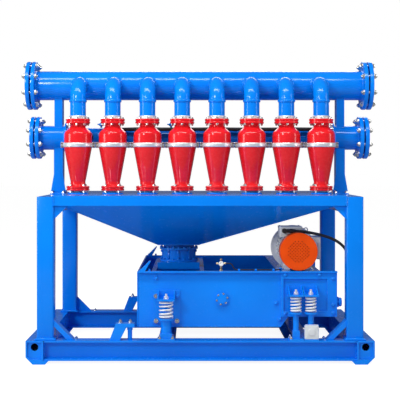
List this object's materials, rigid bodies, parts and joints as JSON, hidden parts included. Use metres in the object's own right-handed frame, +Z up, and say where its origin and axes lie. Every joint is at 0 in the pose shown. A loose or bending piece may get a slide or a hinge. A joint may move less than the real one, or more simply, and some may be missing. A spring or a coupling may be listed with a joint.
{
  "type": "desilter",
  "caption": "Skid-mounted desilter: a row of red hydrocyclones between two flanged headers, over a hopper and a spring-borne shaker with its motor.",
  "frame": {"origin": "on the floor under the middle of the skid, at the centre of the bounding box's base", "axes": "+X along the machine towards the motor end and the longest way, +Y from the front to the back, +Z up"},
  "size_m": [2.04, 1.23, 1.653],
  "materials": {
    "blue_paint": "glossy enamel",
    "red_polyurethane": "glossy moulded",
    "plated_steel": "zinc plated",
    "screen_steel": "plain",
    "white_spring_paint": "satin",
    "motor_grey": "satin paint on a cast housing",
    "orange_paint": "satin",
    "black_rubber": "matt"
  },
  "bodies": {
    "frame": {"apex_nozzles": "red_polyurethane", "cable_grommet": "black_rubber", "corner_gussets": "blue_paint", "cross_beams": "blue_paint", "cyclone_clamps": "plated_steel", "cyclone_cone_1": "red_polyurethane", "cyclone_cone_2": "red_polyurethane", "cyclone_cone_3": "red_polyurethane", "cyclone_cone_4": "red_polyurethane", "cyclone_cone_5": "red_polyurethane", "cyclone_cone_6": "red_polyurethane", "cyclone_cone_7": "red_polyurethane", "cyclone_cone_8": "red_polyurethane", "cyclone_head_1": "red_polyurethane", "cyclone_head_2": "red_polyurethane", "cyclone_head_3": "red_polyurethane", "cyclone_head_4": "red_polyurethane", "cyclone_head_5": "red_polyurethane", "cyclone_head_6": "red_polyurethane", "cyclone_head_7": "red_polyurethane", "cyclone_head_8": "red_polyurethane", "feed_end_flanges": "blue_paint", "feed_header": "blue_paint", "feed_header_supports": "blue_paint", "flange_gaskets": "black_rubber", "flange_studs": "plated_steel", "front_braces": "blue_paint", "hopper": "blue_paint", "hopper_deck": "blue_paint", "inlet_couplings": "black_rubber", "joint_plates": "plated_steel", "manifold_hose": "black_rubber", "motor_cable": "black_rubber", "overflow_end_flanges": "blue_paint", "overflow_header": "blue_paint", "overflow_header_supports": "blue_paint", "overflow_pipes": "blue_paint", "posts_front": "blue_paint", "posts_rear": "blue_paint", "side_rails": "blue_paint", "skid_beam_front": "blue_paint", "skid_beam_rear": "blue_paint", "skid_end_left": "blue_paint", "skid_end_right": "blue_paint", "spring_stands": "blue_paint", "springs_left": "white_spring_paint", "springs_right": "white_spring_paint", "top_rails": "blue_paint", "underflow_collars": "blue_paint"},
    "basket": {"feed_box": "blue_paint", "feed_sleeve": "blue_paint", "motor_body": "motor_grey", "motor_fan_cover": "orange_paint", "motor_gland": "black_rubber", "motor_plate": "blue_paint", "screen_frame": "screen_steel", "shaft_housing": "blue_paint", "shaker_basket": "blue_paint", "spring_seats": "blue_paint", "terminal_boxes": "motor_grey"}
  },
  "joints": [
    {"name": "basket_bounce", "type": "slide", "parent": "frame", "child": "basket", "axis": [0, 0, 1], "range_m": [-0.006, 0.006], "stiffness_N_per_m": 200000, "springref_m": 0.01257, "deforming": ["springs_left", "springs_right"]}
  ]
}
